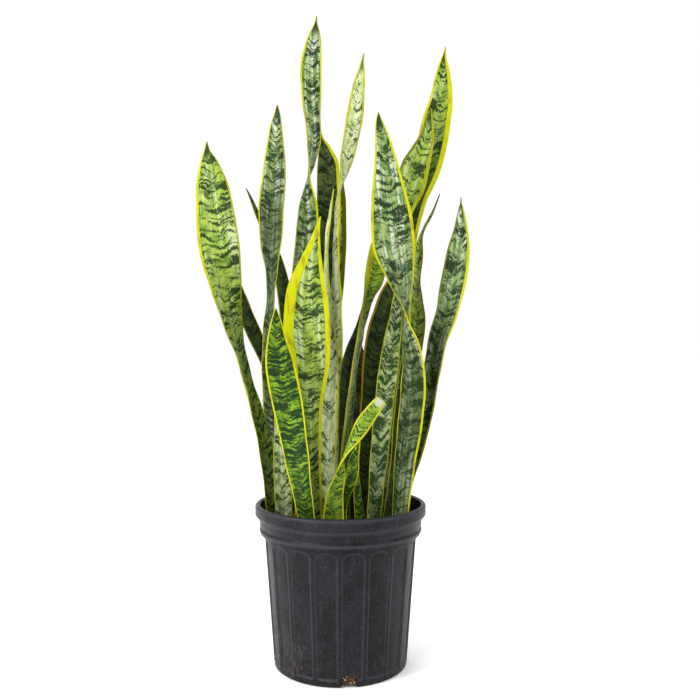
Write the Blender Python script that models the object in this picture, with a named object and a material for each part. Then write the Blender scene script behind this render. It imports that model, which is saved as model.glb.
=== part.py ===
"""A variegated snake plant in a fluted nursery pot. Metres, +Z up, origin under the middle of the pot."""

import math

import bmesh
import bpy
from mathutils import Vector

MM = 0.001
TOUCH = 0.0001

# Pot: a thin-walled turned shell with a rolled rim, a collar bead and arched flutes.
RIM_DIAMETER = 0.254
POT_HEIGHT = 0.237
WALL = 0.0022
FLOOR = 0.0030
RIM_ROLL_HEIGHT = 0.018
RIM_OVERHANG = 0.0055
COLLAR_HEIGHT = 0.026
COLLAR_STEP = 0.0085
BEAD_HEIGHT = 0.010
BEAD_INSET = 0.0025
BEAD_SWELL = 0.0012
LIP_ROUND = 0.0010
LIP_WIDTH = 0.0030
FOOT_ROUND = 0.0015
WALL_TAPER = 0.0145
FLUTES = 18
FLUTE_DEPTH = 0.0013
FLUTE_FOOT = 0.010
ARCH_DROP = 0.004
ARCH_RISE = 0.007
STEPS_PER_FLUTE = 4
DRAIN_HOLES = 4
DRAIN_WIDTH = 0.022
DRAIN_HEIGHT = 0.018
DRAIN_ARCH_RISE = 0.0077
DRAIN_REACH = 0.012
DRAIN_TURN = math.radians(7.5)

# Potting mix.
HEADSPACE = 0.035
MIX_CLEARANCE = 0.0005

# Plant. The stations of LEAVES are drawn for these two sizes and follow the pot and the plant's height.
PLANT_HEIGHT = 0.773
DRAWN_HEIGHT = 0.773
DRAWN_MOUTH = 0.1188
LEAF_SEAT = 0.0003
LEAN_GROWTH = 1.6
BASE_THICKNESS = 0.0050
TOP_THICKNESS = 0.0024
TIP_THICKNESS_SHARE = 0.3
BASE_CHANNEL = 0.20
TOP_CHANNEL = 0.05
RING_STEP = 0.045
RING_TURN = math.radians(24)
RING_SAMPLES = 240
TIP_SHARE = 0.97
TANGENT_SHARE = 0.01
CHANNEL_FADE = 1.5
RING_ACROSS = (-0.55, 0.0, 0.55)

RIM_RADIUS = RIM_DIAMETER / 2
COLLAR_RADIUS = RIM_RADIUS - RIM_OVERHANG
WALL_TOP_RADIUS = COLLAR_RADIUS - COLLAR_STEP
FOOT_RADIUS = WALL_TOP_RADIUS - WALL_TAPER
MOUTH_RADIUS = COLLAR_RADIUS - WALL - LIP_ROUND / 2
BEAD_RADIUS = COLLAR_RADIUS - BEAD_INSET
ROLL_BOTTOM = POT_HEIGHT - RIM_ROLL_HEIGHT
COLLAR_BOTTOM = ROLL_BOTTOM - COLLAR_HEIGHT
BEAD_TOP = COLLAR_BOTTOM + BEAD_HEIGHT
ARCH_TOP = COLLAR_BOTTOM - ARCH_DROP
MIX_TOP = POT_HEIGHT - HEADSPACE

# One leaf to a key: how far back its foot stands (the front is -Y), how far back the tip leans from
# there, and its stations up from the mix, all in millimetres. A station is height, place to the right,
# width, and the turn of the face about the vertical in degrees: 0 faces the front, and a growing turn
# brings the left margin forwards. AWL is the width at a pointed tip.
AWL = 1.6
LEAVES = {
    "leaf_far_left": (-12, -39, (
        (0, -99, 28, 52), (110, -112, 34, 60), (235, -143, 40, 78), (300, -159, 46, 60),
        (357, -168, 52, 36), (413, -176, 59, 10), (485, -183, 51, 0), (533, -189, 25, 0),
        (548, -191, 9, 0), (560, -191, AWL, 0),
    )),
    "leaf_left_behind": (46, -3, (
        (0, -86, 22, 30), (80, -92, 25, 30), (170, -101, 26, 38), (228, -112, 27, 50),
        (261, -124, 27, 45), (293, -138, 26, 32), (327, -152, 24, 22), (357, -161, 17, 10),
        (391, -168, 8, 0), (411, -170, AWL, 0),
    )),
    "leaf_tall_left": (12, -34, (
        (0, -95, 26, -28), (128, -100, 31, -32), (212, -105, 34, -40), (285, -107, 36, -58),
        (348, -103, 36, -65), (378, -102, 37, -56), (412, -103, 38, -34), (463, -103, 39, -10),
        (523, -98, 35, 0), (567, -96, 25, 0), (591, -95, 18, 0), (611, -93, 8, 0), (622, -93, AWL, 0),
    )),
    "leaf_left_inner": (58, 22, (
        (0, -62, 22, 20), (180, -70, 24, 20), (290, -83, 24, 18), (355, -91, 23, 14),
        (396, -100, 19, 10), (437, -114, 14, 8), (479, -134, 8, 0), (503, -144, 5, 0), (520, -152, AWL, 0),
    )),
    "leaf_front_short": (-72, -31, (
        (0, -42, 23, -20), (74, -54, 31, -16), (112, -60, 37, -14), (150, -66, 40, -12),
        (194, -74, 43, -2), (237, -82, 41, 5), (286, -87, 22, 5), (304, -87, 13, 5), (319, -87, AWL, 0),
    )),
    "leaf_front_broad": (-44, -14, (
        (0, -38, 25, 20), (108, -44, 33, 20), (147, -46, 38, 19), (186, -47, 44, 16), (242, -45, 59, 8),
        (291, -48, 67, 0), (338, -48, 60, 0), (390, -41, 31, 0), (415, -36, 16, 0), (436, -32, 7, 0),
        (452, -28, AWL, 0),
    )),
    "leaf_left_low": (-45, -10, (
        (0, -81, 24, 25), (90, -83, 27, 15), (153, -81, 28, 10), (198, -80, 24, 0), (233, -80, 13, 0),
        (259, -81, AWL, 0),
    )),
    "leaf_centre_edge_on": (-11, -5, (
        (0, -13, 30, -28), (105, -17, 32, -36), (188, -15, 37, -42), (244, -13, 38, -52),
        (289, -15, 38, -62), (333, -17, 37, -74), (395, -21, 32, -78), (432, -19, 25, -76),
        (466, -15, 16, -74), (486, -12, 7, -70), (500, -10, AWL, -60),
    )),
    "leaf_tallest": (22, 3, (
        (0, -52, 28, 150), (186, -51, 36, 152), (338, -57, 42, 160), (386, -55, 42, 165),
        (443, -51, 38, 165), (473, -51, 34, 158), (503, -51, 32, 126), (532, -48, 31, 92),
        (553, -45, 31, 68), (584, -42, 31, 50), (638, -45, 32, 30), (687, -46, 33, 8), (729, -42, 25, 0),
        (752, -39, 13, 0), (763, -38, 4, 0), (773, -37, AWL, 0),
    )),
    "leaf_centre_dark": (68, 27, (
        (0, -30, 30, 0), (180, -29, 34, 0), (341, -24, 40, 0), (439, -22, 41, 0), (495, -20, 39, 0),
        (556, -21, 36, 0), (586, -27, 21, 0), (605, -33, 8, 0), (619, -34, AWL, 0),
    )),
    "leaf_upper_centre": (44, 11, (
        (0, -8, 24, 150), (182, -10, 28, 148), (338, -9, 28, 130), (407, -9, 27, 112),
        (449, -8, 27, 110), (489, -6, 27, 104), (523, 0, 28, 82), (540, 4, 28, 62), (564, 9, 28, 44),
        (619, 20, 28, 22), (676, 28, 19, 12), (701, 32, 10, 8), (717, 34, 4, 0), (727, 36, AWL, 0),
    )),
    "leaf_back_olive": (90, 18, (
        (0, -6, 26, 0), (180, -13, 30, 8), (303, -17, 34, 24), (393, -13, 38, 12), (434, -12, 40, 6),
        (480, -8, 32, 0), (507, -4, 23, 0), (533, -1, 10, 0), (550, 1, AWL, 0),
    )),
    "leaf_right_broad": (-58, -36, (
        (0, 82, 23, 150), (98, 90, 33, 150), (163, 98, 40, 148), (200, 101, 42, 143),
        (229, 102, 43, 136), (255, 99, 45, 124), (278, 96, 47, 110), (299, 92, 49, 95),
        (322, 91, 52, 74), (344, 87, 56, 57), (371, 82, 59, 40), (408, 75, 61, 10), (443, 72, 58, 0),
        (479, 68, 48, 0), (519, 64, 33, 0), (558, 58, 19, 0), (577, 54, 10, 0), (589, 53, AWL, 0),
    )),
    "leaf_top_right": (26, 31, (
        (0, 86, 22, 20), (96, 96, 24, 25), (187, 99, 26, 35), (300, 97, 30, 50), (400, 99, 36, 40),
        (455, 104, 39, 25), (497, 113, 42, 12), (547, 132, 47, 2), (584, 142, 47, 0), (619, 149, 44, 0),
        (656, 157, 35, 0), (699, 160, 21, 0), (717, 161, 10, 0), (729, 163, 4, 0), (738, 164, AWL, 0),
    )),
    "leaf_right_inner_tall": (-1, 0, (
        (0, 75, 32, -16), (188, 88, 36, -20), (300, 88, 33, -34), (411, 87, 36, -25),
        (456, 87, 38, -22), (480, 93, 41, -14), (510, 105, 45, 0), (533, 111, 43, 0), (558, 121, 33, 0),
        (585, 130, 20, 0), (608, 133, 10, 0), (623, 135, AWL, 0),
    )),
    "leaf_far_right": (-24, -14, (
        (0, 92, 22, -42), (56, 96, 25, -45), (109, 108, 29, -32), (149, 118, 32, -35),
        (190, 128, 34, -48), (243, 137, 37, -53), (271, 142, 39, -50), (321, 157, 40, -40),
        (351, 163, 39, -28), (400, 171, 34, -10), (443, 175, 18, 0), (466, 175, 8, 0), (475, 175, 3, 0),
        (483, 175, AWL, 0),
    )),
    "leaf_right_slim": (50, 16, (
        (0, 88, 20, -10), (90, 98, 22, -16), (182, 110, 24, -20), (255, 115, 26, -24),
        (309, 120, 27, -22), (342, 119, 27, -48), (364, 119, 26, -66), (404, 121, 23, -48),
        (437, 125, 12, -50), (453, 131, 7, -45), (474, 142, 5, -40), (508, 156, AWL, 0),
    )),
    "leaf_centre_twisted": (-28, -6, (
        (0, 3, 24, 42), (72, 5, 26, 46), (126, 8, 28, 58), (179, 13, 30, 70), (256, 23, 32, 78),
        (307, 33, 32, 71), (327, 37, 32, 65), (345, 42, 32, 52), (362, 48, 32, 30), (386, 52, 31, 20),
        (407, 54, 25, 12), (429, 56, 14, 0), (457, 55, AWL, 0),
    )),
    "leaf_centre_shaded": (22, 3, (
        (0, 6, 23, -30), (185, 9, 27, -32), (234, 12, 28, -30), (260, 19, 26, -28), (283, 26, 20, -26),
        (304, 31, 13, -20), (330, 34, AWL, 0),
    )),
    "leaf_right_shaded": (-16, -6, (
        (0, 33, 26, 20), (100, 38, 28, 20), (210, 45, 32, 20), (243, 48, 35, 20), (271, 53, 38, 20),
        (296, 59, 39, 20), (319, 66, 38, 20), (340, 71, 32, 20), (360, 77, 21, 18), (382, 81, 10, 10),
        (402, 83, AWL, 0),
    )),
    "leaf_right_banded": (-50, 8, (
        (0, 45, 22, 30), (83, 52, 27, 27), (123, 56, 30, 25), (190, 63, 31, 25), (243, 70, 32, 25),
        (271, 74, 29, 28), (299, 78, 24, 28), (321, 81, 19, 24), (341, 82, 10, 10), (366, 84, AWL, 0),
    )),
    "leaf_right_narrow": (-32, -2, (
        (0, 67, 20, 25), (58, 75, 20, 30), (93, 79, 20, 35), (131, 82, 21, 38), (178, 86, 21, 35),
        (211, 89, 16, 30), (236, 90, 8, 10), (259, 92, AWL, 0),
    )),
    "leaf_front_cut": (-84, -20, (
        (0, -9, 29, 18), (33, -10, 30, 20), (60, -8, 27, 24), (84, -2, 22, 40), (103, 2, 19, 68),
        (117, 7, 17, 95), (130, 14, 17, 128), (142, 21, 19, 150), (160, 32, 22, 165), (180, 46, 19, 172),
        (194, 57, 15, 176),
    )),
    "leaf_front_small": (-60, 1, (
        (0, 0, 19, 30), (31, 1, 21, 55), (51, 6, 23, 55), (69, 12, 24, 45), (88, 17, 22, 34),
        (108, 20, 15, 20), (123, 25, 7, 0), (136, 28, AWL, 0),
    )),
    "leaf_sprout_right": (-49, 0, (
        (0, 28, 14, 20), (26, 27, 15, 20), (49, 25, 13, 20), (75, 24, 8, 10), (101, 24, AWL, 0),
    )),
    "leaf_sprout_left": (-60, -3, (
        (0, -60, 11, 30), (20, -60, 11, 25), (38, -60, 7, 15), (58, -60, AWL, 0),
    )),
    "leaf_low_behind": (4, 4, (
        (0, 18, 24, 20), (113, 19, 26, 20), (136, 20, 24, 20), (172, 21, 19, 10), (187, 24, 10, 0),
        (199, 27, AWL, 0),
    )),
    "leaf_mid_behind": (46, 14, (
        (0, 30, 24, 10), (140, 32, 29, 10), (201, 35, 32, 8), (224, 34, 27, 0), (247, 32, 15, 0),
        (270, 32, AWL, 0),
    )),
}


def clear_scene():
    for obj in list(bpy.data.objects):
        bpy.data.objects.remove(obj, do_unlink=True)


def make_material(name, colour, roughness, metallic=0.0):
    material = bpy.data.materials.new(name)
    material.use_nodes = True
    shader = material.node_tree.nodes["Principled BSDF"]
    shader.inputs["Base Color"].default_value = (*colour, 1.0)
    shader.inputs["Roughness"].default_value = roughness
    shader.inputs["Metallic"].default_value = metallic
    return material


def add_object(name, bm, material):
    """Turns a bmesh into a named object whose faces all point out."""
    bmesh.ops.recalc_face_normals(bm, faces=bm.faces[:])
    if bm.calc_volume(signed=True) < 0:
        bmesh.ops.reverse_faces(bm, faces=bm.faces[:])
    mesh = bpy.data.meshes.new(name)
    bm.to_mesh(mesh)
    bm.free()
    mesh.materials.append(material)
    obj = bpy.data.objects.new(name, mesh)
    bpy.context.scene.collection.objects.link(obj)
    return obj


def turn_profile(points, segments):
    """Spins a closed outline of (radius, height) points round the vertical axis into a solid."""
    bm = bmesh.new()
    verts = [bm.verts.new((0.0, -radius, height)) for radius, height in points]
    edges = [bm.edges.new(pair) for pair in zip(verts, verts[1:])]
    bmesh.ops.spin(
        bm,
        geom=verts + edges,
        axis=(0, 0, 1),
        cent=(0, 0, 0),
        angle=2 * math.pi,
        steps=segments,
    )
    bmesh.ops.remove_doubles(bm, verts=bm.verts[:], dist=TOUCH / 10)
    return bm


def outer_radius(height):
    """The pot's outer radius on the tapered wall."""
    return FOOT_RADIUS + WALL_TAPER * height / COLLAR_BOTTOM


def inside_profile():
    """(radius, height) points down the pot's inside, from the lip to the floor."""
    return [
        (MOUTH_RADIUS + LIP_ROUND * 1.5, POT_HEIGHT - LIP_ROUND),
        (MOUTH_RADIUS, ROLL_BOTTOM),
        (BEAD_RADIUS - WALL, BEAD_TOP),
        (WALL_TOP_RADIUS - WALL, COLLAR_BOTTOM - LIP_ROUND),
        (outer_radius(FLOOR) - WALL, FLOOR),
    ]


def outside_profile():
    """(radius, height) points up the pot's outside, from the underside to the lip."""
    wall_heights = (
        FOOT_ROUND,
        FLUTE_FOOT,
        FLUTE_FOOT + 2 * FLUTE_DEPTH,
        COLLAR_BOTTOM / 2,
        ARCH_TOP - ARCH_RISE,
        ARCH_TOP,
        ARCH_TOP + FLUTE_DEPTH,
        COLLAR_BOTTOM,
    )
    wall = [(outer_radius(height), height) for height in wall_heights]
    collar = [
        (BEAD_RADIUS, COLLAR_BOTTOM + LIP_ROUND),
        (BEAD_RADIUS + BEAD_SWELL, COLLAR_BOTTOM + BEAD_HEIGHT / 2),
        (BEAD_RADIUS, BEAD_TOP),
        (COLLAR_RADIUS, ROLL_BOTTOM),
    ]
    roll = [
        (RIM_RADIUS - LIP_ROUND, ROLL_BOTTOM + LIP_WIDTH),
        (RIM_RADIUS, ROLL_BOTTOM + RIM_ROLL_HEIGHT * 0.45),
        (RIM_RADIUS - LIP_ROUND, POT_HEIGHT - 2 * LIP_ROUND),
        (RIM_RADIUS - LIP_WIDTH, POT_HEIGHT),
    ]
    return [(FOOT_RADIUS - FOOT_ROUND, 0.0)] + wall + collar + roll


def inner_radius(height):
    """The pot's inner radius at a height between its floor and its lip."""
    inside = inside_profile()
    for (upper_radius, upper), (lower_radius, lower) in zip(inside, inside[1:]):
        if height >= lower:
            share = (height - lower) / (upper - lower)
            return lower_radius + (upper_radius - lower_radius) * share
    return inside[-1][0]


def sink_flutes(bm):
    """Moves the wall inwards between ribs, up to a row of round arches under the collar."""
    for vert in bm.verts:
        radius = math.hypot(vert.co.x, vert.co.y)
        height = vert.co.z
        phase = (math.atan2(vert.co.x, -vert.co.y) * FLUTES / (2 * math.pi)) % 1.0
        off_centre = min(abs(phase - 0.5) * 2, 1.0)
        arch = ARCH_TOP - ARCH_RISE * (1 - math.sqrt(1 - off_centre ** 2))
        on_wall = abs(radius - outer_radius(height)) < TOUCH
        between_ribs = off_centre < 1 - 1 / STEPS_PER_FLUTE
        if on_wall and between_ribs and FLUTE_FOOT + TOUCH < height < arch + FLUTE_DEPTH / 2:
            shrink = (radius - FLUTE_DEPTH) / radius
            vert.co.x *= shrink
            vert.co.y *= shrink


def drain_cutter():
    """One arched slug for each drain hole, through the foot of the wall and the edge of the floor."""
    bm = bmesh.new()
    half = DRAIN_WIDTH / 2
    spring = DRAIN_HEIGHT - DRAIN_ARCH_RISE
    angles = [math.radians(degrees) for degrees in range(0, 181, 30)]
    arch = [(half * math.cos(angle), spring + DRAIN_ARCH_RISE * math.sin(angle)) for angle in angles]
    outline = [(half, -WALL)] + arch + [(-half, -WALL)]
    for index in range(DRAIN_HOLES):
        turn = DRAIN_TURN + index * 2 * math.pi / DRAIN_HOLES
        outward = Vector((math.sin(turn), -math.cos(turn), 0))
        sideways = Vector((math.cos(turn), math.sin(turn), 0))
        start = FOOT_RADIUS - DRAIN_REACH
        face = bm.faces.new([
            bm.verts.new(outward * start + sideways * across + Vector((0, 0, height)))
            for across, height in outline
        ])
        pushed = bmesh.ops.extrude_face_region(bm, geom=[face])["geom"]
        moved = [item for item in pushed if isinstance(item, bmesh.types.BMVert)]
        bmesh.ops.translate(bm, verts=moved, vec=outward * 2 * DRAIN_REACH)
    cutter = add_object("drain_cutter", bm, make_material("cutter", (1, 0, 0), 0.5))
    cutter.hide_render = True
    cutter.display_type = "WIRE"
    return cutter


def build_pot():
    outline = [(0.0, 0.0)] + outside_profile() + inside_profile() + [(0.0, FLOOR)]
    bm = turn_profile(outline, FLUTES * STEPS_PER_FLUTE)
    sink_flutes(bm)
    pot = add_object("nursery_pot", bm, make_material("black_hdpe", (0.035, 0.035, 0.038), 0.45))
    cut = pot.modifiers.new("drain_holes", "BOOLEAN")
    cut.operation = "DIFFERENCE"
    cut.object = drain_cutter()
    return pot


def build_mix():
    """The potting mix: it fills the pot from the floor to the headspace, a clearance off the wall."""
    low = FLOOR + MIX_CLEARANCE
    bends = [low, COLLAR_BOTTOM - LIP_ROUND, BEAD_TOP, ROLL_BOTTOM]
    heights = [height for height in bends if height < MIX_TOP - TOUCH] + [MIX_TOP]
    side = [(inner_radius(height) - MIX_CLEARANCE, height) for height in heights]
    points = [(0.0, low)] + side + [(0.0, MIX_TOP)]
    bm = turn_profile(points, FLUTES * STEPS_PER_FLUTE)
    return add_object("potting_mix", bm, make_material("bark_mix", (0.09, 0.05, 0.03), 0.95))


def slopes(knots, values):
    """Slopes at the knots for a smooth curve that never overshoots its values."""
    steps = [(b - a) / (q - p) for a, b, p, q in zip(values, values[1:], knots, knots[1:])]
    inner = [0.0 if a * b <= 0 else 2 * a * b / (a + b) for a, b in zip(steps, steps[1:])]
    return [steps[0]] + inner + [steps[-1]]


def smooth_at(knots, values, at):
    """The value at one place on the smooth curve through (knots, values)."""
    index = max(i for i in range(len(knots) - 1) if i == 0 or knots[i] <= at)
    span = knots[index + 1] - knots[index]
    t = min(max((at - knots[index]) / span, 0.0), 1.0)
    rise = slopes(knots, values)
    low, high = values[index], values[index + 1]
    return (
        low * (1 + 2 * t) * (1 - t) ** 2
        + high * t * t * (3 - 2 * t)
        + span * (rise[index] * t * (1 - t) ** 2 - rise[index + 1] * t * t * (1 - t))
    )


def leaf_section(leaf, share):
    """Centre, width and turn of the leaf at a share of its height."""
    foot_back, lean, stations = leaf
    spread = MOUTH_RADIUS / DRAWN_MOUTH * MM
    rise = PLANT_HEIGHT / DRAWN_HEIGHT * MM
    heights = [station[0] for station in stations]
    at = share * heights[-1]
    right, width, turn = (
        smooth_at(heights, [station[column] for station in stations], at) for column in (1, 2, 3)
    )
    back = foot_back + lean * share ** LEAN_GROWTH
    centre = Vector((right * spread, back * spread, MIX_TOP + LEAF_SEAT + at * rise))
    return centre, width * spread, math.radians(turn)


def ring_shares(leaf):
    """Shares of the height at which rings lie: closer together where the leaf twists."""
    shares = [0.0]
    spent = 0.0
    last = leaf_section(leaf, 0.0)
    for step in range(1, RING_SAMPLES + 1):
        share = step / RING_SAMPLES
        here = leaf_section(leaf, share)
        spent += (here[0] - last[0]).length / RING_STEP + abs(here[2] - last[2]) / RING_TURN
        last = here
        if spent >= 1.0 and share < TIP_SHARE:
            shares.append(share)
            spent = 0.0
    return shares + [(1 + TIP_SHARE) / 2, 1.0]


def leaf_ring(leaf, share):
    """The outline across the leaf: a lens bent into a channel, with its margins towards the face."""
    centre, width, turn = leaf_section(leaf, share)
    ahead = leaf_section(leaf, min(share + TANGENT_SHARE, 1.0))[0]
    behind = leaf_section(leaf, max(share - TANGENT_SHARE, 0.0))[0]
    along = Vector((0, 0, 1)) if share == 0.0 else (ahead - behind).normalized()
    level = Vector((math.cos(turn), math.sin(turn), 0))
    across = (level - along * level.dot(along)).normalized()
    facing = across.cross(along)
    thick = min(BASE_THICKNESS + (TOP_THICKNESS - BASE_THICKNESS) * share, TIP_THICKNESS_SHARE * width)
    channel = width * (BASE_CHANNEL + (TOP_CHANNEL - BASE_CHANNEL) * min(share * CHANNEL_FADE, 1.0))

    def place(side, layer):
        depth = channel * (side * side - 1 / 3) + layer * thick / 2 * (1 - side * side)
        return centre + across * (side * width / 2) + facing * depth

    front = [place(side, 1) for side in RING_ACROSS]
    back = [place(side, -1) for side in reversed(RING_ACROSS)]
    return [place(-1, 0)] + front + [place(1, 0)] + back


def build_leaf(name, leaf, material):
    """Draws the leaf up from its base outline, ring by ring."""
    bm = bmesh.new()
    shares = ring_shares(leaf)
    base = bm.faces.new([bm.verts.new(point) for point in leaf_ring(leaf, shares[0])])
    top = base
    for share in shares[1:]:
        pushed = bmesh.ops.extrude_face_region(bm, geom=[top])["geom"]
        if top is not base:
            bmesh.ops.delete(bm, geom=[top], context="FACES_ONLY")
        top = next(item for item in pushed if isinstance(item, bmesh.types.BMFace))
        for vert, point in zip(top.verts, leaf_ring(leaf, share)):
            vert.co = point
    leaf = add_object(name, bm, material)
    leaf.data.shade_smooth()
    leaf.data.set_sharp_from_angle(angle=math.radians(50))
    return leaf


def main():
    clear_scene()
    plant = bpy.data.objects.new("potted_snake_plant", None)
    bpy.context.scene.collection.objects.link(plant)
    pieces = [build_pot(), build_mix()]
    for name, leaf in LEAVES.items():
        material = make_material(name + "_green", (0.16, 0.30, 0.05), 0.4)
        pieces.append(build_leaf(name, leaf, material))
    for piece in pieces:
        piece.parent = plant


main()
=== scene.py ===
"""A potted variegated snake plant in a white studio: fine leaves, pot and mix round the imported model."""

import math
import random

import bmesh
import bpy
from mathutils import Euler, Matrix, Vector, noise


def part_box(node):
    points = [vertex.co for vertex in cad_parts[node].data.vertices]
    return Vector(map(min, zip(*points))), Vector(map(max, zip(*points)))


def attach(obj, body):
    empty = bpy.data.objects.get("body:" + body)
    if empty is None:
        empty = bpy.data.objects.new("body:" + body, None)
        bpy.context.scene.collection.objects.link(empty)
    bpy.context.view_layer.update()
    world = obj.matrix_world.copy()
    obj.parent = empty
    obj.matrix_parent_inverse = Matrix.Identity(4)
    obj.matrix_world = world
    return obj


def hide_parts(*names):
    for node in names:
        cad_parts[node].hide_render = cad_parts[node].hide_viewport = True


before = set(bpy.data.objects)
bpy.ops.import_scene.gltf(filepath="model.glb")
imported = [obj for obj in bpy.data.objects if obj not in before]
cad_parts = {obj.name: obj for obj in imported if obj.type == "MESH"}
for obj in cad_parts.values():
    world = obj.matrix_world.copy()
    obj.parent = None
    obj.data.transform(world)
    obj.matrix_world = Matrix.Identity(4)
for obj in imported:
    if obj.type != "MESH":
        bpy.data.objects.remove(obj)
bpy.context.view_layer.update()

MM = 0.001
TOUCH = 0.0001

# Pot sizes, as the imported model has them.
POT_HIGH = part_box("nursery_pot")[1]
RIM_RADIUS = POT_HIGH.x
POT_HEIGHT = POT_HIGH.z
WALL = 0.0022
FLOOR = 0.0030
RIM_ROLL_HEIGHT = 0.018
RIM_OVERHANG = 0.0055
COLLAR_HEIGHT = 0.026
COLLAR_STEP = 0.0085
BEAD_HEIGHT = 0.010
BEAD_INSET = 0.0025
BEAD_SWELL = 0.0016
BEAD_ROUND = 0.0015
BEAD_START = 0.002
BEAD_STEPS = 8
ROLL_ROUND = 0.0045
LIP_ROUND = 0.0010
FOOT_ROUND = 0.0022
WALL_TAPER = 0.0145
FLUTES = 18
STEPS_PER_FLUTE = 24
FLUTE_DEPTH = 0.0021
FLUTE_FOOT = 0.010
FLUTE_SLOPE = 0.0028
RIB_SHARE = 0.12
RIB_SLOPE = 0.16
ARCH_DROP = 0.005
ARCH_RISE = 0.011
DRAIN_HOLES = 4
DRAIN_WIDTH = 0.022
DRAIN_HEIGHT = 0.018
DRAIN_ARCH_RISE = 0.0077
DRAIN_REACH = 0.012
DRAIN_TURN = math.radians(7.5)

COLLAR_RADIUS = RIM_RADIUS - RIM_OVERHANG
WALL_TOP_RADIUS = COLLAR_RADIUS - COLLAR_STEP
FOOT_RADIUS = WALL_TOP_RADIUS - WALL_TAPER
MOUTH_RADIUS = COLLAR_RADIUS - WALL - LIP_ROUND / 2
BEAD_RADIUS = COLLAR_RADIUS - BEAD_INSET
ROLL_BOTTOM = POT_HEIGHT - RIM_ROLL_HEIGHT
COLLAR_BOTTOM = ROLL_BOTTOM - COLLAR_HEIGHT
BEAD_TOP = COLLAR_BOTTOM + BEAD_HEIGHT
ARCH_TOP = COLLAR_BOTTOM - ARCH_DROP

# Edges of the collar where a paler highlight is painted on, and how far the painted highlight fades above and
# below them.
HIGHLIGHT_EDGES = (POT_HEIGHT - 0.003, ROLL_BOTTOM - 0.002, BEAD_TOP - 0.005)
HIGHLIGHT_REACH = 0.0035

# Heights of the wall's rows in millimetres: close together at the foot and at the arches.
WALL_ROWS = [4, 6, 8, 9, 10, 11, 12, 13, 14, 16, 20] + list(range(30, 165, 12)) + list(range(168, 193))

# Potting mix, and the loose bits on it and in the drain holes.
MIX_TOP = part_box("potting_mix")[1].z
MIX_CLEARANCE = 0.0005
MIX_BUMP = 0.0022
MIX_RINGS = 40
MIX_SEGMENTS = 120
BARK_CHIPS = 300
PERLITE_GRAINS = 170
HOLE_BITS = 30
BIT_TILT = 0.5
BIT_ROUGHNESS = 0.35
WALL_GAP = 0.008
LEAF_GAP = 0.011
HOLE_SHARE = 0.42
HOLE_HEIGHTS = (0.0035, 0.0145)
HOLE_DEPTHS = (-0.0012, 0.0010)

# Leaves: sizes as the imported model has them.
DRAWN_MOUTH = 0.1188
LEAN_GROWTH = 1.6
LEAF_SEAT = 0.0003
BASE_THICKNESS = 0.0050
TOP_THICKNESS = 0.0024
TIP_THICKNESS_SHARE = 0.3
BASE_CHANNEL = 0.20
TOP_CHANNEL = 0.05
CHANNEL_FADE = 1.5
TANGENT_SHARE = 0.01

# What only the fine leaves need. ROW_STEP, END_ROUND, WAVE_LENGTH and BAND_REACH are in millimetres.
ROOTED = 0.006
ACROSS = 14
FEWEST_ROWS = 12
ROW_STEP = 3.5
END_ROUND = 2.5
WAVE_DEPTH = 0.0007
WAVE_LENGTH = 62.0
# Margins narrow with the leaf, and more so towards its foot.
MARGIN_THINNING = 0.6
BASE_THINNING = 0.8
# A band's bow is a cosine that reaches this many radians at the margin.
BOW_ANGLE = 4.2
# How far across the leaf a band keeps its height.
BAND_REACH = 26.0
# The share of the leaf's height over which the painted shade at its foot deepens.
PAINTED_SHADE_SPAN = 0.25
# Half the width of the soft step between band and ground.
BAND_EDGE = 0.07

# Studio.
FLOOR_REACH = 40.0
FLOOR_TILES = 40
FLOOR_DROP = 0.0003
AIM_HEIGHT = 0.45
CAMERA_PLACE = (0.014, -1.168, 0.464)
SENSOR_WIDTH = 36
FOCAL_SHARE = 780 / 700
NEAR_CLIP = 0.01

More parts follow.
